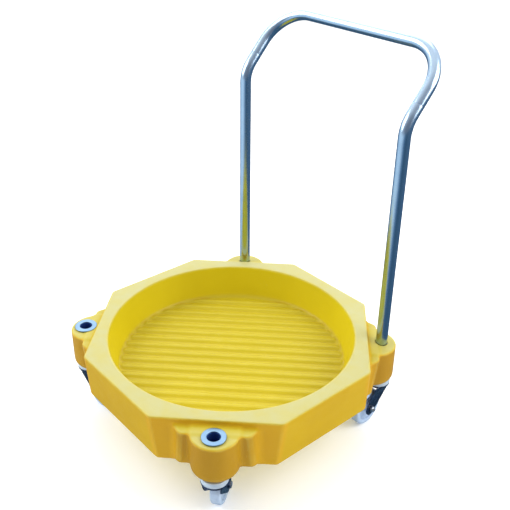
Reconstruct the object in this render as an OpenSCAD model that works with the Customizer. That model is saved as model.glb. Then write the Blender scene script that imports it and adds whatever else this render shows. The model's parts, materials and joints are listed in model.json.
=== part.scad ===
// Drum dolly: a hollow plastic tray on four swivel castors, with a tube handle that lifts out.
// +X right, +Y towards the handle, +Z up. The origin is on the ground under the middle of the whole.

/* [Tray] */
// Distance across the flat sides of the tray
tray_across = 716; // [700:1:760]
// Length of each of the four long straight sides
tray_side = 286; // [260:1:300]
// Height of the rim above the ground
rim_height = 250; // [246:1:260]
// Height of the outer wall
wall_height = 128; // [120:1:129]
// How far the long sides lean in from rim to foot
wall_draft = 11; // [2:0.5:14]
// How far the short slanted sides lean in from rim to foot
corner_draft = 3; // [0:0.5:8]
// Radius of the upright corners of the tray
tray_corner = 16; // [8:1:24]
// Wall thickness of the moulding
skin = 5; // [4:0.5:6]

/* [Recess] */
// Diameter of the recess at the rim
recess_top = 640; // [620:1:646]
// Diameter of the recess at its floor
recess_floor = 600; // [580:1:610]
// Depth of the recess down to the valleys between the ribs
recess_depth = 92; // [80:1:94]
// Distance between neighbouring floor ribs
rib_pitch = 33; // [30:1:40]
// Height of a floor rib
rib_height = 7; // [4:0.5:8]
// Width of a floor rib at its foot
rib_foot = 25; // [20:1:28]
// Width of a floor rib at its crest
rib_crest = 9; // [6:1:12]

/* [Corner lobes] */
// Distance between the axes of neighbouring sockets
socket_spacing = 552; // [548:1:556]
// Drop from the rim to the top of a lobe
lobe_drop = 18; // [15:1:22]
// Radius of the round end of a lobe
lobe_r = 58; // [54:1:60]
// How far the round end's centre lies inside the socket axis
lobe_inset = 20; // [18:1:24]
// Height of the underside of a lobe above the ground
lobe_foot = 125; // [124:1:128]
// Rounding of the lobe's lower edge
lobe_round = 20; // [10:1:22]
// Rounding of the lobe's upper edge
lobe_top_round = 6; // [3:1:8]
// Half width of the stepped shoulder where it leaves the tray
shoulder_w = 98; // [90:1:104]
// Half width of the stepped shoulder at its front, at its top
shoulder_front = 79; // [74:1:90]
// How far the top of the shoulder stands out from the tray
shoulder_out = 28; // [20:1:32]
// How far the foot of the shoulder stands out from the tray
shoulder_foot_out = 15; // [10:1:20]
// Height of the underside of a shoulder above the ground
shoulder_foot = 129; // [127:1:135]

/* [Sockets] */
// Bore of a socket tube
socket_bore = 31; // [30.8:0.1:32]
// Outer diameter of a socket tube
socket_od = 36; // [35:0.5:38]
// Height of the top of a socket tube above the top of its lobe
socket_rise = 1.5; // [1:0.5:3]
// Height of the stop inside a socket above the ground
socket_stop = 146; // [142:1:150]
// Thickness of the stop disc
stop_t = 5; // [4:1:6]
// Diameter of a socket washer
washer_d = 57; // [52:1:60]
// Thickness of a socket washer
washer_t = 3; // [2:0.5:4]

/* [Castors] */
// Wheel diameter
wheel_d = 100; // [96:1:102]
// Width of the wheel's tread
wheel_w = 27; // [24:1:30]
// Width of the wheel's hub
hub_w = 32; // [30:1:33]
// Distance from the swivel axis to the wheel axle
trail = 47; // [44:1:48]
// Diameter of the castor's top plate
plate_d = 66; // [62:1:70]
// Thickness of the castor's top plate
plate_t = 4; // [3:0.5:5]
// Thickness of the fork's steel
fork_t = 3; // [2.5:0.5:3.5]
// Rest direction of the front left castor's wheel, from +X towards +Y
heading_front_left = 5; // [0:1:360]
// Rest direction of the front right castor's wheel
heading_front_right = 125; // [0:1:360]
// Rest direction of the rear right castor's wheel
heading_rear_right = 276; // [0:1:360]
// Rest direction of the rear left castor's wheel
heading_rear_left = 255; // [0:1:360]

/* [Handle] */
// Diameter of the handle tube
tube_d = 30; // [29:0.5:30.2]
// Wall thickness of the handle tube
tube_wall = 2; // [1.5:0.25:3]
// Height above the ground at which a leg's straight part ends and its bend starts
bend_start = 792; // [760:1:820]
// How far the upper part leans back from upright, in degrees
lean = 42; // [36:1:46]
// Radius of the bend at the top of each leg, at the middle of the tube
bend_r = 78; // [74:1:85]
// Radius of the bow's two corners, at the middle of the tube
corner_r = 103; // [90:1:110]
// Length of the straight slope that belongs to a leg, above its bend
leg_slope = 24; // [24:1:30]
// Length of the straight slope that belongs to the bow, below its corners
bow_slope = 41; // [30:1:60]
// Length of the spigot inside each seam
spigot_len = 46; // [30:1:48]

/* [Hidden] */
$fn = 64;
CORNERS = ["front_left", "front_right", "rear_right", "rear_left"];
SIDES = ["left", "right"];

HEADINGS = [heading_front_left, heading_front_right, heading_rear_right, heading_rear_left];
SIGNS = [[-1, -1], [1, -1], [1, 1], [-1, 1]];
eps = 0.01;

// The whole is shifted so that the middle of its overall depth is at Y = 0.
a = socket_spacing / 2;
flat = tray_across / 2;
side = tray_side / 2;
bar_rise = leg_slope + bow_slope + corner_r;
bar_back = bend_r * (1 - cos(lean)) + bar_rise * sin(lean);
depth_back = a + bar_back + tube_d / 2;
frame_y = -(depth_back - flat) / 2;

// Heights above the ground
wall_foot = rim_height - wall_height;
lobe_top = rim_height - lobe_drop;
floor_z = rim_height - recess_depth;
tube_top = lobe_top + socket_rise;
plate_z = lobe_foot - plate_t;

// Along a diagonal of the tray
chamfer = (flat + side) / sqrt(2);
socket_out = a * sqrt(2);

// Castor
wheel_r = wheel_d / 2;
race_t = 7;
race_z = plate_z - race_t;
race_r = 30;
ball_r = 3.2;
ball_pitch = 22;
ball_count = 16;
ball_gap = 0.35;
crown_top = race_z - 4;
crown_z = crown_top - fork_t;
crown_flange = 4;
crown_lip = 3.5;
cheek_in = hub_w / 2 + 1.5;
cheek_front = -25.5;
cheek_back = 25.5;
cheek_rear = 33;
cheek_lead = -22;
cheek_lead_drop = 19;
cheek_foot = 20;
running = 0.05;
king_r = 6;
king_flats = 19;
king_head = 6;
king_nut = 10;
king_end = 3;
axle_r = 5;
axle_flats = 16;
axle_head = 6;
axle_nut_t = 8;
axle_end = 11;
sleeve_r = 7.5;
thread_gap = 0.02;
hub_r = 16;
web_t = 10;
rim_t = 12;
tread_edge = 5;

// Handle
seat_gap = 0.1;
hair = 0.02;

// Holes in the moulding
tube_hole_r = socket_od / 2 + 0.1;
vent_r = 5;
vent_y = frame_y - 60;
plug_head = 2;
plug_barb = 3;

// Turns a point of one corner into the frame: +X points outward along the tray's diagonal.
module corner(i) {
    s = SIGNS[i];
    translate([s[0] * a, s[1] * a + frame_y, 0]) rotate([0, 0, atan2(s[1], s[0])]) children();
}

// The castor's frame: its origin on the swivel axis at the ground, +X the way the wheel trails.
module castor(i) {
    s = SIGNS[i];
    translate([s[0] * a, s[1] * a + frame_y, 0]) rotate([0, 0, HEADINGS[i]]) children();
}

module tube(d_out, d_in, h) {
    difference() {
        cylinder(d = d_out, h = h);
        translate([0, 0, -eps]) cylinder(d = d_in, h = h + 2 * eps);
    }
}

module hexagon(across, h) {
    cylinder(d = across / cos(30), h = h, $fn = 6);
}

// ---------------------------------------------------------------- base moulding

// How far the middle of a corner post lies inside the rim's outline at height z
function post_inset(z, inset, draft) = draft * (rim_height - z) / wall_height + inset + tray_corner;
// A corner post's distance along its long side, from how far it stands in from both sides it joins
function post_across(from_long, from_short) = side + from_long - from_short * sqrt(2);

// The tray's eight-sided block, leaning in towards its foot, shrunk by inset all round
module tray_block(inset, z_low, z_high) {
    hull()
        for (z = [z_low, z_high - 1], k = [0:3], m = [-1, 1])
            rotate([0, 0, 90 * k])
                translate([
                    flat - post_inset(z, inset, wall_draft),
                    m * post_across(post_inset(z, inset, wall_draft), post_inset(z, inset, corner_draft)),
                    z
                ])
                    cylinder(r = tray_corner, h = 1, $fn = 32);
}

// The round recess, grown by grow all round and open at the top
module recess(grow) {
    slope = (recess_top - recess_floor) / 2 / recess_depth;
    r_floor = recess_floor / 2 + grow;
    h = recess_depth + grow + 1;
    translate([0, 0, floor_z - grow])
        cylinder(r1 = r_floor - slope * grow, r2 = r_floor + slope * (h - grow), h = h);
}

// Straight ribs on the recess floor, along one diagonal of the tray, ending inside the recess wall
module floor_ribs() {
    count = floor((recess_floor - rib_foot) / 2 / rib_pitch);
    flank = (rib_foot - rib_crest) / 2 / rib_height;
    root = rib_foot / 2 + flank;
    intersection() {
        recess(skin / 2);
        rotate([0, 0, 45])
            for (k = [-count:count])
                translate([-recess_top / 2, k * rib_pitch, floor_z])
                    rotate([90, 0, 90])
                        linear_extrude(recess_top)
                            polygon([
                                [-root, -1], [root, -1],
                                [rib_crest / 2, rib_height], [-rib_crest / 2, rib_height]
                            ]);
    }
}

// Outer form of one lobe, drawn at its socket axis and shrunk by inset
module lobe(inset) {
    r = lobe_r - inset;
    top = lobe_top - inset;
    foot = lobe_foot + inset;
    low = lobe_round - inset;
    high = max(lobe_top_round - inset, 1);
    translate([-lobe_inset, 0, 0])
        rotate_extrude() {
            translate([0, foot]) square([r - low, top - foot]);
            translate([0, foot + low]) square([r, top - foot - low - high]);
            translate([0, foot + low]) square([r - high, top - foot - low]);
            translate([r - low, foot + low]) circle(r = low);
            translate([r - high, top - high]) circle(r = high);
        }
}

// Stepped shoulder behind a lobe, its front leaning in towards its foot, shrunk by inset
module shoulder(inset) {
    face = chamfer - socket_out;
    root = face - 12;
    foot = shoulder_foot + inset;
    top = lobe_top - inset;
    wide = shoulder_w - inset;
    reach = shoulder_out + 4;
    narrow = wide - reach * (shoulder_w - shoulder_front) / shoulder_out;
    lean_rate = (shoulder_out - shoulder_foot_out) / (lobe_top - shoulder_foot);
    low = foot - 1;
    high = top + 1;
    front = face - inset + shoulder_foot_out;
    intersection() {
        translate([0, 0, foot])
            linear_extrude(top - foot)
                polygon([
                    [root, -wide], [face, -wide], [face + reach, -narrow],
                    [face + reach, narrow], [face, wide], [root, wide]
                ]);
        translate([0, shoulder_w + 1, 0])
            rotate([90, 0, 0])
                linear_extrude(2 * shoulder_w + 2)
                    polygon([
                        [root - 1, low], [front + lean_rate * (low - shoulder_foot), low],
                        [front + lean_rate * (high - shoulder_foot), high], [root - 1, high]
                    ]);
    }
}

// The moulding's outer form without its recess, shrunk by inset all round
module outer_form(inset) {
    translate([0, frame_y, 0]) tray_block(inset, wall_foot + inset, rim_height - inset);
    for (i = [0:3]) corner(i) {
        lobe(inset);
        shoulder(inset);
    }
}

module base_moulding() {
    color([0.87, 0.72, 0.16])
        difference() {
            union() {
                difference() {
                    outer_form(0);
                    translate([0, frame_y, 0]) recess(0);
                }
                translate([0, frame_y, 0]) floor_ribs();
            }
            // The hollow between the outer wall, the recess and the underside
            difference() {
                outer_form(skin);
                translate([0, frame_y, 0]) recess(skin);
                for (i = [0:3]) corner(i) cylinder(r = tube_hole_r + skin, h = rim_height);
            }
            for (i = [0:3]) corner(i)
                translate([0, 0, lobe_foot - 1]) cylinder(r = tube_hole_r, h = rim_height);
            translate([0, vent_y, wall_foot - 1]) cylinder(r = vent_r, h = skin + 2);
        }
}

module drain_plug() {
    shank = vent_r - 0.05;
    color([0.75, 0.6, 0.12])
        translate([0, vent_y, wall_foot]) {
            translate([0, 0, -plug_head]) cylinder(r = vent_r + 4, h = plug_head);
            translate([0, 0, -plug_head]) cylinder(r = shank, h = plug_head + skin + 2);
            translate([0, 0, skin + 0.1]) cylinder(r1 = vent_r + 0.8, r2 = vent_r - 1, h = plug_barb);
        }
}

// ---------------------------------------------------------------- sockets

module socket_tube(i) {
    color([0.72, 0.76, 0.8])
        corner(i)
            difference() {
                translate([0, 0, lobe_foot]) cylinder(d = socket_od, h = tube_top - lobe_foot);
                translate([0, 0, socket_stop]) cylinder(d = socket_bore, h = rim_height);
                translate([0, 0, lobe_foot - 1])
                    cylinder(d = socket_bore, h = socket_stop - stop_t - lobe_foot + 1);
            }
}

module socket_washer(i) {
    color([0.75, 0.82, 0.9])
        corner(i) translate([0, 0, tube_top]) tube(washer_d, socket_bore + 0.6, washer_t);
}

// ---------------------------------------------------------------- castors

module top_plate(i) {
    color([0.85, 0.88, 0.9])
        castor(i) translate([0, 0, plate_z]) tube(plate_d, 2 * king_r + 0.2, plate_t);
}

module upper_race(i) {
    color([0.55, 0.6, 0.68])
        castor(i)
            difference() {
                translate([0, 0, race_z]) tube(2 * race_r, 2 * king_r + 0.2, race_t);
                translate([0, 0, crown_top + ball_r])
                    rotate_extrude() translate([ball_pitch, 0]) circle(r = ball_r + ball_gap);
            }
}

module balls(i) {
    color([0.8, 0.8, 0.82])
        castor(i)
            for (k = [0:ball_count - 1])
                rotate([0, 0, 360 * k / ball_count])
                    translate([ball_pitch, 0, crown_top + ball_r]) sphere(r = ball_r);
}

module king_bolts() {
    head_z = crown_z - 0.3 - king_head;
    color([0.6, 0.63, 0.68])
        for (i = [0:3]) castor(i) translate([0, 0, head_z]) {
            hexagon(king_flats, king_head);
            cylinder(r = king_r, h = lobe_foot + king_nut + king_end - head_z);
        }
}

module king_nuts() {
    color([0.7, 0.72, 0.75])
        for (i = [0:3]) castor(i)
            translate([0, 0, lobe_foot])
                difference() {
                    hexagon(king_flats, king_nut);
                    translate([0, 0, -1]) cylinder(r = king_r + thread_gap, h = king_nut + 2);
                }
}

// The point where the line from p touches the circle of radius r about c, on side s
function tangent(p, c, r, s) =
    let (t = atan2(p[1] - c[1], p[0] - c[0]) + s * acos(r / norm(p - c)))
    c + r * [cos(t), sin(t)];

// One cheek of a fork, drawn in X and Z and extruded along Y: it narrows from the crown to the axle
module cheek() {
    c = [trail, wheel_r];
    shoulder = [cheek_front, crown_z - 4];
    lead = [cheek_lead, crown_z - cheek_lead_drop];
    rear = [cheek_rear, crown_z - 8];
    top = crown_top - 0.5;
    rotate([90, 0, 0])
        linear_extrude(fork_t)
            difference() {
                union() {
                    translate(c) circle(r = cheek_foot);
                    polygon([
                        [cheek_front, top], shoulder, lead, tangent(lead, c, cheek_foot, 1), c,
                        tangent(rear, c, cheek_foot, -1), rear, [cheek_back, top]
                    ]);
                }
                translate(c) circle(r = axle_r + 0.1);
            }
}

module fork(i) {
    lip_d = 2 * ball_pitch + 10;
    color([0.2, 0.26, 0.38])
        castor(i)
            difference() {
                union() {
                    translate([0, 0, crown_z]) cylinder(d = plate_d, h = fork_t);
                    translate([0, 0, crown_z - crown_flange])
                        tube(plate_d, plate_d - 2 * fork_t, crown_flange + eps);
                    translate([0, 0, crown_top - eps]) tube(2 * race_r + 1, lip_d, crown_lip + eps);
                    translate([0, -cheek_in, 0]) cheek();
                    translate([0, cheek_in + fork_t, 0]) cheek();
                }
                translate([0, 0, crown_z - 1]) cylinder(r = king_r + running, h = fork_t + 2);
            }
}

// Places its children on the wheel axle, with +Z along the axle.
module on_axle(i) {
    castor(i) translate([trail, 0, wheel_r]) rotate([-90, 0, 0]) children();
}

module axle_sleeve(i) {
    color([0.7, 0.72, 0.75])
        on_axle(i) translate([0, 0, -cheek_in]) tube(2 * sleeve_r, 2 * axle_r + 0.1, 2 * cheek_in);
}

module axle_bolt(i) {
    outer = cheek_in + fork_t;
    color([0.75, 0.8, 0.86])
        on_axle(i) translate([0, 0, -outer - axle_head]) {
            hexagon(axle_flats, axle_head);
            cylinder(r = axle_r, h = 2 * outer + axle_head + axle_end);
        }
}

module axle_nut(i) {
    color([0.75, 0.8, 0.86])
        on_axle(i) translate([0, 0, cheek_in + fork_t])
            difference() {
                hexagon(axle_flats, axle_nut_t);
                translate([0, 0, -1]) cylinder(r = axle_r + thread_gap, h = axle_nut_t + 2);
            }
}

module wheel(i) {
    half = wheel_w / 2;
    bore = sleeve_r + running;
    rim = wheel_r - rim_t;
    color([0.86, 0.89, 0.94])
        on_axle(i)
            rotate_extrude() {
                translate([bore, -hub_w / 2]) square([hub_r - bore, hub_w]);
                translate([hub_r - 1, -web_t / 2]) square([rim - hub_r + 2, web_t]);
                translate([rim, -half]) square([rim_t - tread_edge, wheel_w]);
                translate([rim, -half + tread_edge]) square([rim_t, wheel_w - 2 * tread_edge]);
                for (m = [-1, 1])
                    translate([wheel_r - tread_edge, m * (half - tread_edge)]) circle(r = tread_edge);
            }
}

// ---------------------------------------------------------------- handle

// Places its children where a leg's bend starts, tilted as the tube is after the bend.
module after_bend() {
    translate([0, bend_r, 0]) rotate([-lean, 0, 0]) translate([0, -bend_r, 0]) children();
}

// One leg as a solid rod of diameter d, longer by over at each end
module leg_rod(d, over) {
    length = bend_start - socket_stop - seat_gap + over;
    translate([0, 0, -length]) cylinder(d = d, h = length);
    translate([0, bend_r, 0])
        rotate([90, 0, -90]) rotate_extrude(angle = lean) translate([bend_r, 0]) circle(d = d);
    // The slope is a hair thinner than the bend and starts inside it, so that the two are one solid.
    after_bend() translate([0, 0, -1]) cylinder(d = d - hair, h = leg_slope + over + 1);
}

// Places its children in the leaning plane of the bow: X across, Z up the slope from the bends.
module bow_plane() {
    translate([0, a + frame_y, bend_start]) after_bend() children();
}

// The bow as a solid rod of diameter d, longer by over at each end
module bow_rod(d, over) {
    rise = leg_slope + bow_slope;
    for (m = [-1, 1]) {
        translate([m * a, 0, leg_slope - over]) cylinder(d = d, h = bow_slope + over);
        translate([m * (a - corner_r), 0, rise])
            rotate([90, 0, 0])
                rotate([0, 0, m > 0 ? 0 : 90])
                    rotate_extrude(angle = 90) translate([corner_r, 0]) circle(d = d);
    }
    translate([-(a - corner_r), 0, bar_rise]) rotate([0, 90, 0]) cylinder(d = d, h = 2 * (a - corner_r));
}

module handle_leg(s) {
    color([0.6, 0.72, 0.85])
        translate([s * a, a + frame_y, bend_start])
            difference() {
                leg_rod(tube_d, 0);
                leg_rod(tube_d - 2 * tube_wall, 1);
            }
}

module handle_bow() {
    color([0.64, 0.75, 0.87])
        bow_plane()
            difference() {
                bow_rod(tube_d, 0);
                bow_rod(tube_d - 2 * tube_wall, 1);
            }
}

module handle_spigot(s) {
    d = tube_d - 2 * tube_wall - 0.1;
    color([0.5, 0.52, 0.55])
        bow_plane()
            translate([s * a, 0, leg_slope - spigot_len / 2]) tube(d, d - 4, spigot_len);
}

// ---------------------------------------------------------------- assembly

base_moulding();
drain_plug();
king_bolts();
king_nuts();
for (i = [0:3]) socket_tube(i);
for (i = [0:1]) socket_washer(i);
for (i = [0:3]) top_plate(i);
for (i = [0:3]) upper_race(i);
for (i = [0:3]) fork(i);
for (i = [0:3]) balls(i);
for (i = [0:3]) axle_sleeve(i);
for (i = [0:3]) axle_bolt(i);
for (i = [0:3]) axle_nut(i);
for (i = [0:3]) wheel(i);
for (i = [0:1]) handle_leg(2 * i - 1);
handle_bow();
for (i = [0:1]) handle_spigot(2 * i - 1);
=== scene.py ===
import itertools
import json
import math

import bmesh
import bpy
import numpy as np
from mathutils import Matrix, Vector

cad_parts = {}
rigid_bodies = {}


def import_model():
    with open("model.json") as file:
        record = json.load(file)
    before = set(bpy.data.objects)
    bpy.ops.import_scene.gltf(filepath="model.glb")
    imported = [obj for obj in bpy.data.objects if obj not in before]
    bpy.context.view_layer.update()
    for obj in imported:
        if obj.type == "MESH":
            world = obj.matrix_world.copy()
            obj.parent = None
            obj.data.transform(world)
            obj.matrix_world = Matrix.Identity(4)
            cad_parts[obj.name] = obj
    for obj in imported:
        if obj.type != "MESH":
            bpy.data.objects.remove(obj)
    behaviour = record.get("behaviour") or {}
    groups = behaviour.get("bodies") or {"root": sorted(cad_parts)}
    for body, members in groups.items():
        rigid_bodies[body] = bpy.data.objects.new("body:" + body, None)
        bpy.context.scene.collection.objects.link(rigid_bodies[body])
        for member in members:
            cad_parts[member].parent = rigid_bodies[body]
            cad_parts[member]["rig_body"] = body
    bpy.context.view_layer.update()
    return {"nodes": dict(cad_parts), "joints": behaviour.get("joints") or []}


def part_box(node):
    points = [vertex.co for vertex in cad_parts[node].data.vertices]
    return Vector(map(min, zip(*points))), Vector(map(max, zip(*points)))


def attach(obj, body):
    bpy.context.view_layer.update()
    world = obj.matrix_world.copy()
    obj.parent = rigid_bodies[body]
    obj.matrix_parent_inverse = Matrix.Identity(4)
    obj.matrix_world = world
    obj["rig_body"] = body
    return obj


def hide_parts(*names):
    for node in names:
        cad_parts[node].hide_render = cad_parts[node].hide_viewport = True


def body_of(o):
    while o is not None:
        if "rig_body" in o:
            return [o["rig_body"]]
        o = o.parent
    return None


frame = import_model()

# Drum dolly: a rotationally moulded tray on four swivel castors, with a lift-out tube handle.
# Shapes are drawn in millimetres in the frame's axes; MM turns them into Blender's metres.

MM = 0.001
CORNERS = ("front_left", "front_right", "rear_right", "rear_left")
JOINTS = {joint["name"]: joint for joint in frame["joints"]}


def millimetres(point):
    return np.array(point, float) / MM


# ------------------------------------------------------------------ sizes

# Tray, about its own middle: +X right, +Y towards the handle, +Z up from the ground
TRAY_LOW, TRAY_HIGH = (millimetres(corner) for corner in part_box("base_moulding"))
TRAY_MIDDLE = (TRAY_LOW + TRAY_HIGH) / 2
FLAT = TRAY_HIGH[0]
RIM = TRAY_HIGH[2]
SIDE = 143
DRAFT = 11
CORNER_DRAFT = 3
WALL_FOOT = 122
CORNER_ROUND = 16
RIM_ROUND = 4
FOOT_ROUND = 5

# Recess and its ribbed floor
FLOOR = 158
FLOOR_R = 300
MOUTH_R = 320
FLOOR_FILLET = 12
MOUTH_ROUND = 4
RIB_PITCH = 33
RIB_HEIGHT = 5.5
RIB_FOOT = 14
RIB_CREST = 2
RIB_LAST = 8
RIB_FADE = 12

# Lobes and stepped shoulders, along the tray's diagonals
SOCKET_LOW, SOCKET_HIGH = (millimetres(corner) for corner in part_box("socket_tube_front_right"))
SOCKET = (SOCKET_LOW + SOCKET_HIGH) / 2
SOCKET_OUT = math.hypot(SOCKET[0], SOCKET[1] - TRAY_MIDDLE[1])
CHAMFER = (FLAT + SIDE) / math.sqrt(2)
LOBE_IN = 20
LOBE_R = 58
LOBE_TOP = 232
LOBE_FOOT = 125
LOBE_TOP_ROUND = 6
LOBE_FOOT_ROUND = 20
SHOULDER_OUT = 28
SHOULDER_FOOT_OUT = 15
SHOULDER_FOOT = 129
SHOULDER_BACK = 90
SHOULDER_WIDE = 98
SHOULDER_NARROW = 79
SHOULDER_ROUND = 8
BLEND = 11
HOLE_R = 18.1
HOLE_ROUND = 1
# The lip over the rear sockets, round the handle's legs
LIP_R = 15.8
LIP = 3

# Socket tubes, their stop discs and washers
SOCKET_BORE = 15.5
WASHER_BORE = 15.8
STOP_LOW, STOP_HIGH = 141, 146
STOP_DRAIN = 2

# Handle tube
TUBE_R = 15
TUBE_WALL = 2
BEND_R = 78
CORNER_R = 103
LEAN = math.radians(42)
LEG_SLOPE = 24
BOW_SLOPE = 41
SEAM_ROUND = 0.6

# Castor, about its swivel axis at the ground: +X the way the wheel trails, +Y along the axle
TRAIL = 47
AXLE_Z = 50
CROWN_R = 33
CROWN_TOP = 110
CROWN_FOOT = 105.5
FORK_LIP_R = 30
FORK_LIP_TOP = 113.3
FORK_LIP_T = 1.8
FORK_LIP_HEIGHT = 3.6
FORK_T = 3
PLATE_R = 33
RACE_R = 33
RACE_T = 1.4
RACE_FOOT = 110.8
# The groove that the balls run in
GROOVE_MOUTH = (18.4, 25.6)
GROOVE_BED = (18.9, 25.1)
GROOVE_DEPTH = 2.9
PLATE_BORE = 6.1
KING_HOLE_R = 6.05
AXLE_HOLE_R = 5.1
AXLE_R = 5
HEX_FLATS = 16
CHEEK = 19
CHEEK_FLARE = 3
FLARE_FOOT = 78
FLARE_HEIGHT = 28
BOSS_R = 19.5
CHEEK_TOP = (8, 102)
CHEEK_R = 31
CHEEK_ROUND = 0.9

# How slowly the fine lines in bare metal change along a turned or a drawn surface
TURNED_LINES = 0.02
DRAWN_LINES = 0.03


# ------------------------------------------------------------------ mesh making

def make_piece(name, vertices, faces, node, material):
    """A smooth closed piece in millimetres that stands for a CAD node and rides on that node's body."""
    mesh = bpy.data.meshes.new(name)
    mesh.from_pydata((np.asarray(vertices) * MM).tolist(), [], faces)
    outward = bmesh.new()
    outward.from_mesh(mesh)
    bmesh.ops.recalc_face_normals(outward, faces=outward.faces)
    outward.to_mesh(mesh)
    outward.free()
    mesh.shade_smooth()
    set_normals(mesh)
    mesh.materials.append(material)
    piece = bpy.data.objects.new(name, mesh)
    bpy.context.scene.collection.objects.link(piece)
    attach(piece, body_of(frame["nodes"][node])[0])
    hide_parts(node)
    return piece


def set_normals(mesh):
    """Vertex normals weighted by face area, so that flats stay flat beside their rounded edges."""
    count = len(mesh.polygons)
    normal = np.zeros(count * 3)
    area = np.zeros(count)
    size = np.zeros(count, int)
    mesh.polygons.foreach_get("normal", normal)
    mesh.polygons.foreach_get("area", area)
    mesh.polygons.foreach_get("loop_total", size)
    corner = np.zeros(len(mesh.loops), int)
    mesh.loops.foreach_get("vertex_index", corner)
    weighted = np.repeat(normal.reshape(-1, 3) * area[:, None], size, axis=0)
    total = np.stack(
        [np.bincount(corner, weighted[:, k], len(mesh.vertices)) for k in range(3)], axis=1
    )
    total /= np.maximum(np.linalg.norm(total, axis=1, keepdims=True), 1e-20)
    mesh.normals_split_custom_set_from_vertices(total.tolist())


def point_attribute(piece, name, values):
    """Keeps a number or a vector at each vertex, for a material to read."""
    kind, field = ("FLOAT_VECTOR", "vector") if np.ndim(values) == 2 else ("FLOAT", "value")
    attribute = piece.data.attributes.new(name, kind, "POINT")
    attribute.data.foreach_set(field, np.ravel(values).astype(np.float32))


def ring_faces(count, around, loop):
    """Quads between neighbouring rings, with a flat cap at each end unless loop joins last to first."""
    faces = []
    for i in range(count if loop else count - 1):
        for j in range(around):
            low, high = i * around, (i + 1) % count * around
            faces.append((low + j, low + (j + 1) % around, high + (j + 1) % around, high + j))
    if not loop:
        faces.append(tuple(range(around - 1, -1, -1)))
        faces.append(tuple(range((count - 1) * around, count * around)))
    return faces


def unit(vector):
    return vector / np.linalg.norm(vector)


def rounded(corners, steps=4):
    """A closed outline through corners given as (across, along, radius), each rounded by its radius."""
    outline = []
    for k, (across, along, radius) in enumerate(corners):
        here = np.array([across, along], float)
        back = unit(np.array(corners[k - 1][:2]) - here)
        ahead = unit(np.array(corners[(k + 1) % len(corners)][:2]) - here)
        half = math.acos(np.clip(back @ ahead, -1, 1)) / 2
        if radius == 0 or half > 1.55:
            outline.append(here)
            continue
        centre = here + unit(back + ahead) * radius / math.sin(half)
        start = here + back * radius / math.tan(half) - centre
        end = here + ahead * radius / math.tan(half) - centre
        first = math.atan2(start[1], start[0])
        turn = (math.atan2(end[1], end[0]) - first + math.pi) % (2 * math.pi) - math.pi
        for t in np.linspace(0, 1, steps + 1):
            angle = first + turn * t
            outline.append(centre + radius * np.array([math.cos(angle), math.sin(angle)]))
    return np.array(outline)


def placed(points, place):
    """Points in a part's own axes, moved by a 4 by 4 matrix in millimetres."""
    flat = points.reshape(-1, 3)
    return (flat @ place[:3, :3].T + place[:3, 3]).reshape(points.shape)


def lathe(name, corners, place, node, material, around=72):
    """A turned piece with a bore: a closed rounded outline of (radius, height) about the part's Z axis."""
    outline = rounded(corners)
    angle = 2 * math.pi * np.arange(around) / around
    rings = np.stack([
        outline[:, :1] * np.cos(angle),
        outline[:, :1] * np.sin(angle),
        np.repeat(outline[:, 1:], around, axis=1),
    ], axis=2)
    vertices = placed(rings, place).reshape(-1, 3)
    piece = make_piece(
        name, vertices, ring_faces(len(outline), around, True), node, material,
    )
    turned = np.repeat(outline, around, axis=0) * MM
    point_attribute(piece, "grain", np.column_stack([turned, rings[:, :, 0].ravel() * MM * TURNED_LINES]))
    return piece


def hexagon(across_flats, around):
    """Distance from the axis to a hexagon's edge in each of around directions."""
    angle = 2 * math.pi * np.arange(around) / around
    return across_flats / 2 / np.cos((angle + math.pi / 6) % (math.pi / 3) - math.pi / 6)


def fastener(name, stations, place, node, material, loop, around=72):
    """A bolt or nut: stations of (height, radius, width across flats or None) about the part's Z axis."""
    angle = 2 * math.pi * np.arange(around) / around
    rings = []
    for height, radius, flats in stations:
        reach = np.full(around, float(radius))
        if flats:
            reach = np.minimum(hexagon(flats, around), radius)
        level = np.full(around, height)
        rings.append(np.stack([reach * np.cos(angle), reach * np.sin(angle), level], axis=1))
    vertices = placed(np.array(rings), place).reshape(-1, 3)
    return make_piece(name, vertices, ring_faces(len(stations), around, loop), node, material)


def chamfered(flats, low, high):
    """Stations of a hexagon from low to high, with its corners turned off at the high end."""
    corner = flats / 2 / math.cos(math.pi / 6)
    inner = flats / 2 * 0.95
    slope = math.tan(math.radians(30))
    drop = (corner - inner) * slope
    turned = [(high - drop * t, inner + (corner - inner) * t, flats) for t in np.linspace(1, 0, 5)]
    return [(low, corner, flats), *turned]


# ------------------------------------------------------------------ soft-edged solids

def fillet_union(a, b, size):
    """The union of two distance fields, with a hollow fillet where they meet."""
    share = np.clip(0.5 + 0.5 * (b - a) / size, 0, 1)
    return b + (a - b) * share - size * share * (1 - share)


def round_cut(a, b, radius):
    """What two distance fields have in common, with a rounded edge."""
    return np.minimum(np.maximum(a, b), -radius) + np.hypot(
        np.maximum(a + radius, 0), np.maximum(b + radius, 0)
    )


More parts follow.
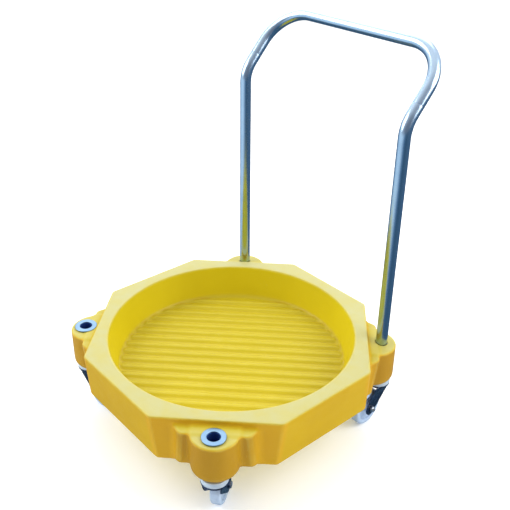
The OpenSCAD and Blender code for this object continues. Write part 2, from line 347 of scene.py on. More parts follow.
def net(distance, axes):
    """Vertices and quads of the surface where a distance field is zero, on a grid of three axes."""
    inside = distance(*np.meshgrid(*axes, indexing="ij")) < 0
    shape = tuple(len(axis) - 1 for axis in axes)
    filled = np.zeros(shape, np.int8)
    for i, j, k in itertools.product((0, 1), repeat=3):
        filled += inside[i:shape[0] + i, j:shape[1] + j, k:shape[2] + k]
    mixed = (filled > 0) & (filled < 8)
    index = np.full(shape, -1)
    index[mixed] = np.arange(np.count_nonzero(mixed))
    middles = [(axis[1:] + axis[:-1]) / 2 for axis in axes]
    vertices = np.stack([m[i] for m, i in zip(middles, np.nonzero(mixed))], axis=1)
    quads = []
    for axis in range(3):
        order = (axis, (axis + 1) % 3, (axis + 2) % 3)
        solid = inside.transpose(order)
        cell = index.transpose(order)
        leaving = solid[:-1, 1:-1, 1:-1] & ~solid[1:, 1:-1, 1:-1]
        entering = ~solid[:-1, 1:-1, 1:-1] & solid[1:, 1:-1, 1:-1]
        for crossing, turn in ((leaving, 1), (entering, -1)):
            i, j, k = np.nonzero(crossing)
            ring = (cell[i, j, k], cell[i, j + 1, k], cell[i, j + 1, k + 1], cell[i, j, k + 1])
            quads.append(np.stack(ring[::turn], axis=1))
    quads = np.concatenate(quads)
    return settled(distance, vertices, quads), quads


def slope_of(distance, points, step=0.2):
    """Gradient of a distance field at points."""
    slopes = []
    for k in range(3):
        offset = np.zeros(3)
        offset[k] = step
        ahead = distance(*(points + offset).T)
        slopes.append((ahead - distance(*(points - offset).T)) / (2 * step))
    return np.stack(slopes, axis=1)


def settled(distance, vertices, quads, rounds=4):
    """Vertices spread evenly and drawn onto the surface, by turns."""
    first = np.concatenate([quads[:, k] for k in range(4)])
    second = np.concatenate([quads[:, (k + 1) % 4] for k in range(4)])
    degree = np.bincount(first, minlength=len(vertices)) + np.bincount(second, minlength=len(vertices))
    for turn in range(rounds):
        if turn:
            total = np.stack([
                np.bincount(first, vertices[second, k], len(vertices))
                + np.bincount(second, vertices[first, k], len(vertices))
                for k in range(3)
            ], axis=1)
            vertices = 0.5 * vertices + 0.5 * total / degree[:, None]
        for _ in range(2):
            slope = slope_of(distance, vertices)
            steep = np.maximum((slope ** 2).sum(axis=1), 0.05)
            vertices = vertices - slope * (distance(*vertices.T) / steep)[:, None]
    return vertices


def curvature(distance, points, reach=4.0):
    """Above zero on outer edges and below zero in hollows."""
    total = -6 * distance(*points.T)
    for k in range(3):
        offset = np.zeros(3)
        offset[k] = reach
        total += distance(*(points + offset).T) + distance(*(points - offset).T)
    return total / reach


# ------------------------------------------------------------------ materials

def linear(red, green, blue):
    """A display colour of 0 to 255 as the linear colour that a shader takes."""
    values = [c / 255 for c in (red, green, blue)]
    return tuple(c / 12.92 if c <= 0.04045 else ((c + 0.055) / 1.055) ** 2.4 for c in values) + (1,)


class Finish:
    """A material built from procedural nodes round one Principled shader."""

    def __init__(self, name, **fixed):
        self.material = bpy.data.materials.new(name)
        self.material.use_nodes = True
        self.tree = self.material.node_tree
        self.shader = self.tree.nodes["Principled BSDF"]
        for socket, value in fixed.items():
            self.shader.inputs[socket.replace("_", " ")].default_value = value
        self.place = self.add("ShaderNodeTexCoord").outputs["Object"]

    def add(self, kind, **inputs):
        made = self.tree.nodes.new(kind)
        for socket, value in inputs.items():
            self.link(value, made.inputs[socket.replace("_", " ")])
        return made

    def link(self, value, socket):
        if isinstance(value, bpy.types.NodeSocket):
            self.tree.links.new(value, socket)
        else:
            socket.default_value = value

    def attribute(self, name, output):
        made = self.add("ShaderNodeAttribute")
        made.attribute_name = name
        return made.outputs[output]

    def scaled(self, vector, scale):
        made = self.add("ShaderNodeVectorMath")
        made.operation = "MULTIPLY"
        self.link(vector, made.inputs[0])
        made.inputs[1].default_value = scale
        return made.outputs[0]

    def noise(self, scale, detail=2.0, vector=None, distortion=0.0):
        made = self.add(
            "ShaderNodeTexNoise", Vector=vector or self.place,
            Scale=scale, Detail=detail, Distortion=distortion,
        )
        return made.outputs["Fac"]

    def ramp(self, factor, *stops):
        """A colour or a grey level between stops of (position, value)."""
        made = self.add("ShaderNodeValToRGB", Fac=factor)
        points = made.color_ramp.elements
        while len(points) < len(stops):
            points.new(1.0)
        for point, (position, value) in zip(points, stops):
            point.position = position
            point.color = value if isinstance(value, tuple) else (value, value, value, 1)
        return made.outputs["Color"]

    def between(self, factor, first, second, kind="MIX"):
        """The first colour turning into the second as factor goes from 0 to 1."""
        made = self.add("ShaderNodeMix")
        made.data_type = "RGBA"
        made.blend_type = kind
        for socket, value in zip((0, 6, 7), (factor, first, second)):
            self.link(value, made.inputs[socket])
        return made.outputs[2]

    def times(self, first, second):
        made = self.add("ShaderNodeMath")
        made.operation = "MULTIPLY"
        self.link(first, made.inputs[0])
        self.link(second, made.inputs[1])
        return made.outputs[0]

    def span(self, factor, low, high):
        """A factor of 0 to 1 spread from low to high."""
        return self.add("ShaderNodeMapRange", Value=factor, To_Min=low, To_Max=high).outputs[0]

    def bump(self, height, depth, under=None):
        made = self.add("ShaderNodeBump", Height=height, Distance=depth)
        if under:
            self.link(under, made.inputs["Normal"])
        return made.outputs["Normal"]

    def use(self, color, roughness, normal):
        self.link(color, self.shader.inputs["Base Color"])
        self.link(roughness, self.shader.inputs["Roughness"])
        self.link(normal, self.shader.inputs["Normal"])
        return self.material


def tray_finish():
    """Satin yellow polyethylene: faint clouding, orange peel, painted light and shade on its walls, painted
    shade in hollows, a painted sheen on the rim and lobe tops, edges whitened by wear and a painted
    highlight, and scuffs.
    """
    made = Finish("tray_polyethylene", IOR=1.45, Coat_Weight=0.05, Coat_Roughness=0.25)
    made.shader.inputs["Specular IOR Level"].default_value = 0.2
    cloud = made.noise(5, 4)

    def clouded(darker, lighter):
        return made.ramp(cloud, (0.3, linear(*darker)), (0.7, linear(*lighter)))

    lemon = clouded((180, 162, 25), (188, 170, 31))
    # Lit and shaded copies of the yellow: amber, orange and deep are painted shade for the outer walls, the
    # chamfers and the lobes; bright is painted light on the recess's inner walls.
    shaded_amber = clouded((188, 150, 8), (196, 160, 10))
    bright = clouded((202, 181, 20), (210, 190, 24))
    orange = clouded((196, 148, 15), (204, 158, 18))
    shaded_deep = clouded((168, 124, 14), (176, 134, 17))
    outside = made.attribute("outside", "Fac")
    color = made.between(made.ramp(outside, (0.0, 0.0), (0.4, 1.0)), lemon, shaded_amber)
    color = made.between(made.ramp(outside, (0.4, 0.0), (0.65, 1.0)), color, orange)
    color = made.between(made.ramp(outside, (0.65, 0.0), (1.0, 1.0)), color, shaded_deep)
    color = made.between(made.attribute("inside", "Fac"), color, bright)
    speck = made.ramp(made.noise(420, 2), (0.62, 0.0), (0.75, 1.0))
    color = made.between(made.times(speck, 0.2), color, linear(208, 190, 84))
    edge = made.attribute("edge", "Fac")
    # Painted shade: hollows and creases are darkened by their curvature.
    hollow = made.ramp(edge, (0.0, 1.0), (0.42, 0.0))
    color = made.between(made.times(hollow, 0.45), color, linear(164, 118, 14))
    # Painted sheen: the rim top and the outer lobe tops are paled to cream, standing in for a reflection of
    # the bright sky.
    sheen_mottle = made.ramp(made.noise(24, 6), (0.3, 0.62), (0.7, 0.95))
    painted_rim_sheen = made.times(made.attribute("rim", "Fac"), sheen_mottle)
    color = made.between(painted_rim_sheen, color, linear(178, 174, 124))
    # Outer edges whitened in patches: partly wear, partly a painted highlight.
    worn = made.ramp(made.noise(38, 5), (0.35, 0.25), (0.65, 1.0))
    worn_highlit_edge = made.times(made.ramp(edge, (0.56, 0.0), (0.8, 1.0)), worn)
    color = made.between(made.times(worn_highlit_edge, 0.35), color, linear(206, 194, 96))
    scratch = made.ramp(made.noise(60, 3, made.scaled(made.place, (1, 9, 2)), 0.6), (0.66, 0.0), (0.7, 1.0))
    scuff = made.times(scratch, made.ramp(made.noise(9, 2), (0.5, 0.0), (0.7, 1.0)))
    color = made.between(made.times(scuff, 0.2), color, linear(214, 202, 128))
    roughness = made.span(made.noise(55, 4), 0.34, 0.5)
    wave = made.bump(made.noise(14, 1), 0.0012)
    peel = made.bump(made.noise(300, 2), 0.00012, wave)
    return made.use(color, roughness, peel)


def zinc_finish(name, light, dark, smooth, rough, metallic=1.0):
    """Zinc plate: soft cloudy bloom over fine turned or drawn lines."""
    made = Finish(name, Metallic=metallic)
    grain = made.attribute("grain", "Vector")
    bloom = made.noise(26, 5, distortion=0.4)
    line = made.noise(900, 3, grain)
    color = made.between(made.span(bloom, 0.0, 1.0), linear(*light), linear(*dark))
    color = made.between(made.ramp(line, (0.45, 0.0), (0.8, 0.35)), color, linear(*dark))
    roughness = made.span(bloom, smooth, rough)
    return made.use(color, roughness, made.bump(line, 0.00003))


def fork_finish():
    """Pressed steel with a dark blue glossy passivated coat, thinner along its edges."""
    made = Finish("fork_steel_blue", Metallic=0.85, Coat_Weight=0.5, Coat_Roughness=0.12)
    edge = made.attribute("edge", "Fac")
    patch = made.noise(30, 4, distortion=0.8)
    color = made.ramp(patch, (0.35, linear(30, 42, 70)), (0.7, linear(44, 66, 104)))
    patchy = made.ramp(made.noise(160, 3), (0.4, 0.0), (0.6, 1.0))
    worn = made.times(made.ramp(edge, (0.6, 0.0), (0.85, 1.0)), patchy)
    color = made.between(made.times(worn, 0.4), color, linear(110, 132, 160))
    roughness = made.span(patch, 0.18, 0.34)
    return made.use(color, roughness, made.bump(made.noise(220, 2), 0.00005))


def bolt_finish():
    """Plain zinc-plated fasteners."""
    made = Finish("bolt_steel_plain", Metallic=1.0)
    bloom = made.noise(90, 4)
    color = made.ramp(bloom, (0.35, linear(150, 158, 170)), (0.65, linear(190, 196, 204)))
    roughness = made.span(bloom, 0.24, 0.42)
    return made.use(color, roughness, made.bump(made.noise(700, 2), 0.00003))


def nylon_finish():
    """Milky nylon, with rolling marks on the tread and a little road dust."""
    made = Finish("wheel_nylon", IOR=1.53, Coat_Weight=0.2, Coat_Roughness=0.2)
    made.shader.inputs["Subsurface Weight"].default_value = 0.12
    made.shader.inputs["Subsurface Radius"].default_value = (0.004, 0.004, 0.005)
    grain = made.attribute("grain", "Vector")
    ring = made.noise(420, 3, grain)
    color = made.ramp(made.noise(30, 3), (0.3, linear(168, 190, 218)), (0.7, linear(190, 208, 230)))
    rolled = made.ramp(ring, (0.4, 0.2), (0.7, 1.0))
    dust = made.times(made.ramp(made.noise(70, 5), (0.52, 0.0), (0.7, 1.0)), rolled)
    color = made.between(made.times(dust, 0.4), color, linear(140, 146, 152))
    roughness = made.span(made.noise(80, 3), 0.26, 0.44)
    return made.use(color, roughness, made.bump(ring, 0.00008))


TRAY_PLASTIC = tray_finish()
ZINC = zinc_finish("zinc_plate_blue", (130, 158, 180), (106, 134, 164), 0.26, 0.4)
SLEEVE = zinc_finish("zinc_sleeve_blue", (84, 124, 196), (62, 98, 170), 0.5, 0.65)
# Zinc whitened and made less metallic for the top plates and races: a painted reflection that shows the
# race's edge as a white crescent.
PLATE = zinc_finish("zinc_plate_painted_sheen", (212, 224, 232), (188, 204, 218), 0.3, 0.45, 0.35)
TUBE = zinc_finish("handle_zinc_drawn", (186, 206, 226), (158, 182, 208), 0.17, 0.28)
FORK_STEEL = fork_finish()
BOLT_STEEL = bolt_finish()
NYLON = nylon_finish()


# ------------------------------------------------------------------ tray

def eight_sides(x, y, z):
    """Distance to the tray's eight-sided block, which leans in towards its foot."""
    depth = (RIM - z) / (RIM - WALL_FOOT)
    x, y = np.maximum(x, y), np.minimum(x, y)
    post_x = FLAT - CORNER_ROUND - DRAFT * depth
    cut = CHAMFER - CORNER_ROUND - CORNER_DRAFT * depth
    post_y = math.sqrt(2) * cut - post_x
    face = x - post_x
    chamfer = (x + y) / math.sqrt(2) - cut
    beyond = (y > post_y) & (x - y > post_x - post_y)
    walls = np.where(beyond, np.hypot(x - post_x, y - post_y), np.maximum(face, chamfer)) - CORNER_ROUND
    block = round_cut(walls, z - RIM, RIM_ROUND)
    return round_cut(block, WALL_FOOT - z, FOOT_ROUND)


def lobe(u, v, z):
    """Distance to a lobe: u runs outward along the diagonal, v across it."""
    side = np.hypot(u - (SOCKET_OUT - LOBE_IN), v) - LOBE_R
    upper = round_cut(side, z - LOBE_TOP, LOBE_TOP_ROUND)
    return round_cut(upper, LOBE_FOOT - z, LOBE_FOOT_ROUND)


def shoulder(u, v, z):
    """Distance to the stepped shoulder behind a lobe; its front leans in towards its foot."""
    fall = SHOULDER_WIDE - SHOULDER_NARROW
    cheek = (fall * (u - CHAMFER) + SHOULDER_OUT * (v - SHOULDER_WIDE)) / math.hypot(SHOULDER_OUT, fall)
    lean = (SHOULDER_OUT - SHOULDER_FOOT_OUT) / (LOBE_TOP - SHOULDER_FOOT)
    front = (u - CHAMFER - SHOULDER_FOOT_OUT - lean * (z - SHOULDER_FOOT)) / math.hypot(1, lean)
    walls = round_cut(front, cheek, SHOULDER_ROUND)
    walls = round_cut(walls, CHAMFER - SHOULDER_BACK - u, SHOULDER_ROUND)
    upper = round_cut(walls, z - LOBE_TOP, LOBE_TOP_ROUND)
    return round_cut(upper, SHOULDER_FOOT - z, FOOT_ROUND)


def ribbed_floor(x, y, z):
    """Height of the floor's surface less z, over ribs that run along one diagonal."""
    across = (y - x) / math.sqrt(2)
    rib = np.clip(np.round(across / RIB_PITCH), -RIB_LAST, RIB_LAST)
    flank = RIB_FOOT - RIB_CREST
    climb = np.clip((RIB_FOOT - np.abs(across - rib * RIB_PITCH)) / flank, 0, 1)
    fade = np.clip((FLOOR_R - np.hypot(x, y)) / RIB_FADE, 0, 1)
    rise = RIB_HEIGHT * fade ** 2 * (3 - 2 * fade)
    height = FLOOR + rise * climb ** 2 * (3 - 2 * climb)
    grade = rise * 6 * climb * (1 - climb) / flank
    return (height - z) / np.hypot(1, grade)


def tray(x, y, z):
    """Distance to the whole moulding, about the middle of the tray."""
    out_x, out_y = np.abs(x), np.abs(y)
    u = (out_x + out_y) / math.sqrt(2)
    v = np.abs(out_x - out_y) / math.sqrt(2)
    corner = fillet_union(lobe(u, v, z), shoulder(u, v, z), BLEND)
    outer = fillet_union(eight_sides(out_x, out_y, z), corner, BLEND)
    slant = (MOUTH_R - FLOOR_R) / (RIM - FLOOR)
    wall = (np.hypot(x, y) - FLOOR_R - slant * (z - FLOOR)) / math.hypot(1, slant)
    recess = round_cut(wall, ribbed_floor(x, y, z), FLOOR_FILLET)
    solid = round_cut(outer, -recess, MOUTH_ROUND)
    # Round the handle's legs a lip of the moulding covers the sleeve's end.
    hole = np.where((y > 0) & (z > LOBE_TOP - LIP), LIP_R, HOLE_R)
    return round_cut(solid, hole - np.hypot(u - SOCKET_OUT, v), HOLE_ROUND)


def make_tray():
    """The moulding's surface, on a grid that is coarser halfway up its plain walls."""
    reach = np.arange(-FLAT - 4, FLAT + 4.1, 3.0)
    fine, coarse = 2.5, 6.0
    above_floor, below_lobe_top = FLOOR + 14, LOBE_TOP - 8
    levels = np.concatenate([
        np.arange(WALL_FOOT - 3, above_floor, fine),
        np.arange(above_floor, below_lobe_top, coarse),
        np.arange(below_lobe_top, RIM + 4, fine),
    ])
    vertices, quads = net(tray, (reach, reach, levels))
    moved = vertices + [TRAY_MIDDLE[0], TRAY_MIDDLE[1], 0]
    piece = make_piece(
        "tray_moulding", moved, quads.tolist(), "base_moulding", TRAY_PLASTIC,
    )
    # Curvature at each point: the material paints shade into hollows and whitens outer edges with wear and a
    # painted highlight.
    point_attribute(piece, "edge", np.clip(0.5 + curvature(tray, vertices) * 0.5, 0, 1))
    # Masks for painted light and shade: "outside" darkens the upright outer walls, more on the chamfers and
    # most on the lobes; "inside" lightens the recess's upright inner walls.
    from_middle = np.hypot(vertices[:, 0], vertices[:, 1])
    below_rim = RIM - vertices[:, 2]
    upright_share = np.clip(1.4 - 1.6 * slope_of(tray, vertices)[:, 2], 0, 1)
    outward = np.clip(from_middle - MOUTH_R, 0, 1)
    along_diagonal = np.abs(vertices[:, :2]).sum(axis=1) / math.sqrt(2)
    cut_share = np.clip((along_diagonal - CHAMFER + 14) / 10, 0, 1)
    lobe_share = np.clip((along_diagonal - CHAMFER - 4) / 20, 0, 1)
    point_attribute(piece, "outside", outward * upright_share * (0.4 + 0.25 * cut_share + 0.35 * lobe_share))
    point_attribute(piece, "inside", (1 - outward) * upright_share)
    # Mask for the painted sheen: full on the rim top, weaker on the outer lobe tops.
    level_share = np.clip(slope_of(tray, vertices)[:, 2] * 3 - 2, 0, 1)
    beyond_cut = np.clip((along_diagonal - CHAMFER) / 32, 0, 1)
    lobe_top = level_share * (np.abs(vertices[:, 2] - LOBE_TOP) < 3) * beyond_cut
    point_attribute(piece, "rim", np.maximum(np.clip(1 - below_rim / 1.5, 0, 1), 0.6 * lobe_top))


# ------------------------------------------------------------------ sockets

def upright(x, y):
    """Places a part's Z axis upright through x, y."""
    place = np.eye(4)
    place[:2, 3] = (x, y)
    return place


def make_sockets():
    for corner in CORNERS:
        node = f"socket_tube_{corner}"
        low, high = (millimetres(point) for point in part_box(node))
        middle = (low + high) / 2
        outer = (high[0] - low[0]) / 2
        top = high[2] if "front" in corner else LOBE_TOP - LIP - 0.1
        # The tube and its stop disc in one outline; the disc keeps a small drain hole.
        corners = [
            (STOP_DRAIN, STOP_LOW, 0), (SOCKET_BORE, STOP_LOW, 0.5),
            (SOCKET_BORE, low[2], 0.4), (outer, low[2], 0.4),
            (outer, top, 0.7), (SOCKET_BORE, top, 0.7),
            (SOCKET_BORE, STOP_HIGH, 0.5), (STOP_DRAIN, STOP_HIGH, 0),
        ]
        lathe(f"socket_sleeve_{corner}", corners, upright(*middle[:2]), node, SLEEVE)
    for side in ("left", "right"):
        node = f"socket_washer_front_{side}"
        low, high = (millimetres(point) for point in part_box(node))
        middle = (low + high) / 2
        outer = (high[0] - low[0]) / 2
        corners = [
            (WASHER_BORE, low[2], 0.5), (outer, low[2], 0.8),
            (outer, high[2], 1.1), (WASHER_BORE, high[2], 1.0),
        ]
        lathe(f"socket_ring_front_{side}", corners, upright(*middle[:2]), node, ZINC)


# ------------------------------------------------------------------ castors

def castor_place(corner):
    """The castor's own axes: Z on the swivel, X the way the wheel trails."""
    swivel = millimetres(JOINTS[f"swivel_{corner}"]["pos_m"])
    axle = np.array(JOINTS[f"spin_{corner}"]["axis"], float)
    place = upright(*swivel[:2])
    place[:3, 0] = (axle[1], -axle[0], 0)
    place[:3, 1] = (axle[0], axle[1], 0)
    return place


def axle_place(corner):
    """The wheel's own axes: Z along the axle."""
    about = np.eye(4)
    about[:3, :3] = [[1, 0, 0], [0, 0, 1], [0, -1, 0]]
    about[:3, 3] = (TRAIL, 0, AXLE_Z)
    return castor_place(corner) @ about


def fork(x, y, z):
    """Distance to the pressed fork: a crown dished over the ball race, flowing into two cheeks."""
    radius = np.hypot(x, y)
    cup = round_cut(radius - CROWN_R, z - CROWN_TOP, 3.5)
    hollow = round_cut(radius - CROWN_R + FORK_T, z - CROWN_TOP + FORK_T, 1.5)
    crown = round_cut(round_cut(cup, -hollow, 0.6), CROWN_FOOT - z, 0.6)
    lip = np.maximum(
        np.abs(radius - FORK_LIP_R) - FORK_LIP_T / 2,
        np.abs(z - FORK_LIP_TOP + FORK_LIP_HEIGHT / 2) - FORK_LIP_HEIGHT / 2,
    )
    crown = fillet_union(crown, lip, 2)
    # Each cheek is an uneven capsule seen from the side, kept behind the crown's rim at its front.
    top = np.array(CHEEK_TOP)
    boss = np.array([TRAIL, AXLE_Z])
    length = np.linalg.norm(boss - top)
    along = unit(boss - top)
    run = (x - top[0]) * along[0] + (z - top[1]) * along[1]
    off = np.abs((x - top[0]) * along[1] - (z - top[1]) * along[0])
    lean = (CHEEK_R - BOSS_R) / length
    cosine = math.sqrt(1 - lean ** 2)
    flank = off * cosine + run * lean - CHEEK_R
    measure = run * cosine - off * lean
    side = np.where(
        measure < 0, np.hypot(run, off) - CHEEK_R,
        np.where(measure > length * cosine, np.hypot(run - length, off) - BOSS_R, flank),
    )
    side = round_cut(side, np.hypot(np.minimum(x, 0), y) - CROWN_R, 2)
    rise = np.clip((z - FLARE_FOOT) / FLARE_HEIGHT, 0, 1)
    middle = CHEEK + CHEEK_FLARE * rise ** 2 * (3 - 2 * rise)
    plate = round_cut(np.abs(np.abs(y) - middle) - FORK_T / 2, side, CHEEK_ROUND)
    plate = round_cut(plate, z - (CROWN_TOP - FORK_T / 2), CHEEK_ROUND)
    both = fillet_union(crown, plate, 4)
    both = round_cut(both, KING_HOLE_R - radius, 0.4)
    return round_cut(both, AXLE_HOLE_R - np.hypot(x - TRAIL, z - AXLE_Z), 0.4)


def make_forks():
    margin, step = 3, 1.3
    axes = (
        np.arange(-CROWN_R - margin, TRAIL + BOSS_R + margin, step),
        np.arange(-CROWN_R - margin, CROWN_R + margin, step),
        np.arange(AXLE_Z - BOSS_R - margin, CROWN_TOP + 2 * margin, step),
    )
    vertices, quads = net(fork, axes)
    edge = np.clip(0.5 + curvature(fork, vertices, 1.0) * 0.5, 0, 1)
    for corner in CORNERS:
        moved = placed(vertices, castor_place(corner))
        piece = make_piece(
            f"castor_fork_{corner}", moved, quads.tolist(), f"fork_{corner}", FORK_STEEL,
        )
        point_attribute(piece, "edge", edge)


def make_plates():
    for corner in CORNERS:
        low, high = (millimetres(point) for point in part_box(f"top_plate_{corner}"))
        corners = [
            (PLATE_BORE, low[2], 0.4), (PLATE_R, low[2], 1.2),
            (PLATE_R, high[2], 1.4), (PLATE_BORE, high[2], 0.4),
        ]
        place = castor_place(corner)
        lathe(f"castor_plate_{corner}", corners, place, f"top_plate_{corner}", PLATE)


def make_races():
    """The fixed upper race, turned down at its edge over the fork's lip."""
    for corner in CORNERS:
        node = f"upper_race_{corner}"
        low, high = (millimetres(point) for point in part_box(node))
        roof, bed = low[2], low[2] + GROOVE_DEPTH
        corners = [
            (PLATE_BORE, roof, 0.3), (GROOVE_MOUTH[0], roof, 0.3), (GROOVE_BED[0], bed, 2.5),
            (GROOVE_BED[1], bed, 2.5), (GROOVE_MOUTH[1], roof, 0.3),
            (RACE_R - RACE_T, roof, 0.5), (RACE_R - RACE_T, RACE_FOOT, 0.3), (RACE_R, RACE_FOOT, 0.5),
            (RACE_R, roof + 1, 3), (PLATE_R - 2, high[2], 2), (PLATE_BORE, high[2], 0.3),
        ]
        lathe(f"castor_race_{corner}", corners, castor_place(corner), node, PLATE)


def make_wheels():
    bore, hub_r, web_r, rim_r, tread_r = 7.55, 16, 18, 38, 50
    hub, web, tread = 16, 5, 13.5
    half = [
        (bore, hub, 0.6), (hub_r, hub, 1.5), (web_r, web, 3),
        (rim_r - 1.5, web, 3), (rim_r, tread, 1.5), (tread_r, tread, 5.5),
    ]
    corners = [(r, -h, round_) for r, h, round_ in half] + half[::-1]
    for corner in CORNERS:
        place = axle_place(corner)
        lathe(f"castor_wheel_{corner}", corners, place, f"wheel_{corner}", NYLON, around=96)


def make_axles():
    outer = CHEEK + FORK_T / 2
    head, nut, end = 6, 8, 11
    collar = nut - 2
    for corner in CORNERS:
        place = axle_place(corner)
        # The head is drawn from its chamfered outside inwards, and the shank follows.
        head_end = [(-z, r, flats) for z, r, flats in reversed(chamfered(HEX_FLATS, outer, outer + head))]
        stations = [
            *head_end, (-outer, AXLE_R, None),
            (outer + end - 1, AXLE_R, None), (outer + end, AXLE_R - 1, None),
        ]
        name = f"castor_bolt_{corner}"
        fastener(name, stations, place, f"axle_bolt_{corner}", BOLT_STEEL, False)
        bore = AXLE_R + 0.02
        # A hexagon with the round collar of a locking nut on it
        stations = [
            (outer, bore, None), *chamfered(HEX_FLATS, outer, outer + collar),
            (outer + collar + 0.4, 6.9, None), (outer + nut - 0.5, 6.6, None),
            (outer + nut, 5.9, None), (outer + nut, bore, None),
        ]
        name = f"castor_nut_{corner}"
        fastener(name, stations, place, f"axle_nut_{corner}", BOLT_STEEL, True)


# ------------------------------------------------------------------ handle

def bend_stations(centre, start, turn, radius, steps):
    """Points and headings along a bend: start and turn are unit vectors, out from the centre and ahead."""
    stations = []
    for angle in np.linspace(0, turn[1], steps + 1):
        out = start * math.cos(angle) + turn[0] * math.sin(angle)
        ahead = turn[0] * math.cos(angle) - start * math.sin(angle)
        stations.append((centre + radius * out, ahead))
    return stations


def hollow_tube(name, stations, across, node):
    """A tube along stations of (point, heading), open at both ends with its edges broken."""
    around = 48
    angle = 2 * math.pi * np.arange(around) / around
    inner_r = TUBE_R - TUBE_WALL
    first, last = stations[0], stations[-1]
    path = [(first[0] + first[1] * SEAM_ROUND, first[1], TUBE_R)]
    path += [(point, ahead, TUBE_R) for point, ahead in stations[1:-1]]
    path += [(last[0] - last[1] * SEAM_ROUND, last[1], TUBE_R), (last[0], last[1], TUBE_R - SEAM_ROUND)]
    path += [(point, ahead, inner_r) for point, ahead in reversed(stations)]
    path += [(first[0], first[1], TUBE_R - SEAM_ROUND)]
    rings, grain, travelled = [], [], 0.0
    for k, (point, ahead, radius) in enumerate(path):
        side = np.cross(ahead, across)
        rings.append(point + radius * (np.cos(angle)[:, None] * across + np.sin(angle)[:, None] * side))
        travelled += np.linalg.norm(point - path[k - 1][0]) if k else 0.0
        along = np.full(around, travelled * MM * DRAWN_LINES)
        grain.append(np.stack([np.cos(angle) * TUBE_R * MM, np.sin(angle) * TUBE_R * MM, along], axis=1))
    vertices = np.concatenate(rings)
    piece = make_piece(name, vertices, ring_faces(len(path), around, True), node, TUBE)
    point_attribute(piece, "grain", np.concatenate(grain))


def straight(start, ahead, length, steps):
    return [(start + ahead * length * t, ahead) for t in np.linspace(0, 1, steps + 1)]


def make_handle():
    low, high = (millimetres(point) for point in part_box("handle_bow"))
    half = (high[0] - low[0]) / 2 - TUBE_R
    up, back, right = np.array([0, 0, 1.0]), np.array([0, 1.0, 0]), np.array([1.0, 0, 0])
    slope = up * math.cos(LEAN) + back * math.sin(LEAN)
    rise = LEG_SLOPE + BOW_SLOPE + CORNER_R
    bend_z = high[2] - TUBE_R - rise * slope[2] - BEND_R * math.sin(LEAN)
    rear_low, rear_high = (millimetres(point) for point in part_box("socket_tube_rear_right"))
    leg_y = (rear_low[1] + rear_high[1]) / 2
    for name, side in (("left", -1), ("right", 1)):
        node = f"handle_leg_{name}"
        foot_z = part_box(node)[0][2] / MM
        foot = np.array([side * half, leg_y, foot_z])
        bend = np.array([side * half, leg_y, bend_z])
        stations = straight(foot, up, bend_z - foot_z, 12)
        stations += bend_stations(bend + BEND_R * back, -back, (up, LEAN), BEND_R, 14)[1:]
        stations += straight(stations[-1][0], slope, LEG_SLOPE, 2)[1:]
        hollow_tube(f"handle_upright_{name}", stations, right, node)
    seam = stations[-1][0]
    stations = straight(seam * [-1, 1, 1], slope, BOW_SLOPE, 2)
    corner = stations[-1][0] + CORNER_R * right
    stations += bend_stations(corner, -right, (slope, math.pi / 2), CORNER_R, 28)[1:]
    stations += straight(stations[-1][0], right, 2 * (half - CORNER_R), 12)[1:]
    corner = stations[-1][0] - CORNER_R * slope
    stations += bend_stations(corner, slope, (right, math.pi / 2), CORNER_R, 28)[1:]
    stations += straight(stations[-1][0], -slope, BOW_SLOPE, 2)[1:]
    hollow_tube("handle_top_bow", stations, np.cross(slope, right), "handle_bow")


# ------------------------------------------------------------------ carried-over CAD nodes

def finish_cad_nodes():
    kept = {"drain_plug": TRAY_PLASTIC, "king_bolts": BOLT_STEEL, "king_nuts": BOLT_STEEL}
    for corner in CORNERS:
        kept[f"balls_{corner}"] = BOLT_STEEL
        kept[f"axle_sleeve_{corner}"] = BOLT_STEEL
    for side in ("left", "right"):
        kept[f"handle_spigot_{side}"] = BOLT_STEEL
    for name, material in kept.items():
        for held in frame["nodes"][name].material_slots:
            held.material = material


# ------------------------------------------------------------------ floor, light and camera

def make_floor():
    mesh = bpy.data.meshes.new("studio_floor")
    half = 14.0
    corners = [(-half, -half, 0), (half, -half, 0), (half, half, 0), (-half, half, 0)]
    mesh.from_pydata(corners, [], [(0, 1, 2, 3)])
    floor = bpy.data.objects.new("studio_floor", mesh)
    bpy.context.scene.collection.objects.link(floor)
    made = Finish("studio_floor", Emission_Color=(1, 1, 1, 1), Emission_Strength=0.14)
    tint = made.ramp(made.noise(3, 2), (0.3, linear(244, 245, 246)), (0.7, linear(247, 247, 248)))
    mesh.materials.append(made.use(tint, 0.9, made.bump(made.noise(80, 2), 0.0001)))
    floor.visible_glossy = False


def make_backdrop():
    """A plain white dome that only the camera sees, so that every view has the same background."""
    mesh = bpy.data.meshes.new("studio_backdrop")
    dome = bmesh.new()
    bmesh.ops.create_uvsphere(dome, u_segments=48, v_segments=24, radius=13)
    dome.to_mesh(mesh)
    dome.free()
    backdrop = bpy.data.objects.new("studio_backdrop", mesh)
    bpy.context.scene.collection.objects.link(backdrop)
    made = Finish("studio_backdrop", Emission_Color=(1, 1, 1, 1), Emission_Strength=1.0)
    paper = made.ramp(made.noise(3, 2), (0.3, 0.0), (0.7, 0.01))
    mesh.materials.append(made.use(paper, 1.0, made.bump(made.noise(80, 2), 0.0001)))
    backdrop.visible_diffuse = False
    backdrop.visible_glossy = False
    backdrop.visible_transmission = False
    backdrop.visible_shadow = False


def softbox(name, azimuth, elevation, distance, size, power, color):
    """A square area light that looks at the tray from a bearing round it."""
    light = bpy.data.lights.new(name, "AREA")
    light.size = size
    light.energy = power
    light.color = color
    lamp = bpy.data.objects.new(name, light)
    bpy.context.scene.collection.objects.link(lamp)
    a, e = math.radians(azimuth), math.radians(elevation)
    out = Vector((math.sin(a) * math.cos(e), -math.cos(a) * math.cos(e), math.sin(e)))
    lamp.location = Vector((0, 0, 0.3)) + out * distance
    lamp.rotation_mode = "QUATERNION"
    lamp.rotation_quaternion = (-out).to_track_quat("-Z", "Y")


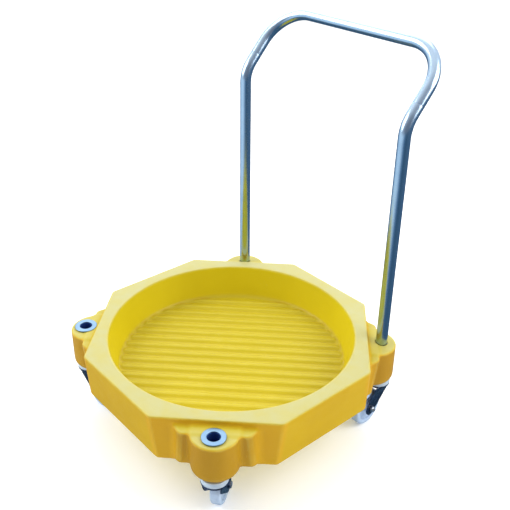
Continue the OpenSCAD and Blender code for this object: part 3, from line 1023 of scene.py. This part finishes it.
def make_light():
    """A bright sky, dimmer on the photograph's side, over dark blue surroundings with one light band."""
    world = bpy.data.worlds.new("studio_sky")
    bpy.context.scene.world = world
    world.use_nodes = True
    tree = world.node_tree
    backdrop = tree.nodes["Background"]
    direction = tree.nodes.new("ShaderNodeTexCoord").outputs["Generated"]

    def towards(azimuth, elevation, low, high, stops):
        """A ramp over how far a direction leans towards a bearing, from low to high."""
        a, e = math.radians(azimuth), math.radians(elevation)
        lean = tree.nodes.new("ShaderNodeVectorMath")
        lean.operation = "DOT_PRODUCT"
        tree.links.new(direction, lean.inputs[0])
        lean.inputs[1].default_value = (
            math.sin(a) * math.cos(e), -math.cos(a) * math.cos(e), math.sin(e),
        )
        spread = tree.nodes.new("ShaderNodeMapRange")
        tree.links.new(lean.outputs["Value"], spread.inputs["Value"])
        spread.inputs["From Min"].default_value = low
        spread.inputs["From Max"].default_value = high
        ramp = tree.nodes.new("ShaderNodeValToRGB")
        tree.links.new(spread.outputs[0], ramp.inputs["Fac"])
        points = ramp.color_ramp.elements
        while len(points) < len(stops):
            points.new(1.0)
        for point, (position, value) in zip(points, stops):
            point.position = position
            point.color = (*value, 1)
        return ramp.outputs["Color"]

    def mixed(kind, factor, first, second):
        made = tree.nodes.new("ShaderNodeMix")
        made.data_type = "RGBA"
        made.blend_type = kind
        made.clamp_result = False
        for socket, value in zip((0, 6, 7), (factor, first, second)):
            if isinstance(value, bpy.types.NodeSocket):
                tree.links.new(value, made.inputs[socket])
            else:
                made.inputs[socket].default_value = value
        return made.outputs[2]

    black, white = (0.0, 0.0, 0.0), (1.0, 1.0, 1.0)
    sky = towards(0, 90, 0.0, 1.0, ((0.0, (0.70, 0.78, 0.86)), (0.5, (0.95, 0.98, 1.0)), (1.0, white)))
    dim = towards(49, 0, 0.0, 0.9, ((0.0, white), (1.0, (0.28, 0.28, 0.30))))
    above = mixed("MULTIPLY", 1.0, sky, dim)
    band = towards(335, 0, -1.0, 1.0, (
        (0.0, (0.08, 0.15, 0.23)), (0.5, (0.05, 0.11, 0.17)),
        (0.72, (0.14, 0.25, 0.37)), (0.95, (0.75, 0.9, 1.0)),
    ))
    shallow = towards(0, 90, -0.62, -0.47, ((0.0, black), (1.0, white)))
    below = mixed("MIX", shallow, (0.06, 0.12, 0.18, 1.0), band)
    horizon = towards(0, 90, -0.12, 0.0, ((0.0, black), (1.0, white)))
    tree.links.new(mixed("MIX", horizon, below, above), backdrop.inputs["Color"])
    backdrop.inputs["Strength"].default_value = 1.22
    softbox("sky_behind", 229, 40, 3.4, 3.6, 60, (0.95, 0.98, 1.0))
    softbox("sky_left", 318, 34, 3.2, 2.2, 57, (1.0, 0.99, 0.97))
    softbox("sky_right", 124, 34, 3.2, 2.2, 60, (1.0, 0.99, 0.97))


def make_camera():
    """The photograph's viewpoint, set from the middle of the rim."""
    azimuth, elevation, roll = math.radians(49.009), math.radians(29.55), math.radians(0.678)
    unit_length = 0.32
    away, aside, above = 6.237, 0.189, 0.604
    flat = math.cos(elevation)
    back = Vector((math.sin(azimuth) * flat, -math.cos(azimuth) * flat, math.sin(elevation)))
    level = Vector((math.cos(azimuth), math.sin(azimuth), 0))
    plumb = back.cross(level)
    right = math.cos(roll) * level + math.sin(roll) * plumb
    up = math.cos(roll) * plumb - math.sin(roll) * level
    camera = bpy.data.objects.new("camera", bpy.data.cameras.new("camera"))
    bpy.context.scene.collection.objects.link(camera)
    rim = Vector((TRAY_MIDDLE[0] * MM, TRAY_MIDDLE[1] * MM, RIM * MM))
    turn = Matrix((right, up, back)).transposed().to_4x4()
    offset = unit_length * (away * back + aside * right + above * up)
    camera.matrix_world = Matrix.Translation(rim + offset) @ turn
    camera.data.sensor_width = 36
    camera.data.lens = 53.75
    camera.data.clip_end = 60
    bpy.context.scene.camera = camera
    bpy.context.scene.view_settings.view_transform = "Standard"


make_camera()
make_light()
make_floor()
make_backdrop()
make_tray()
make_sockets()
make_plates()
make_races()
make_forks()
make_wheels()
make_axles()
make_handle()
finish_cad_nodes()

bpy.context.view_layer.update()
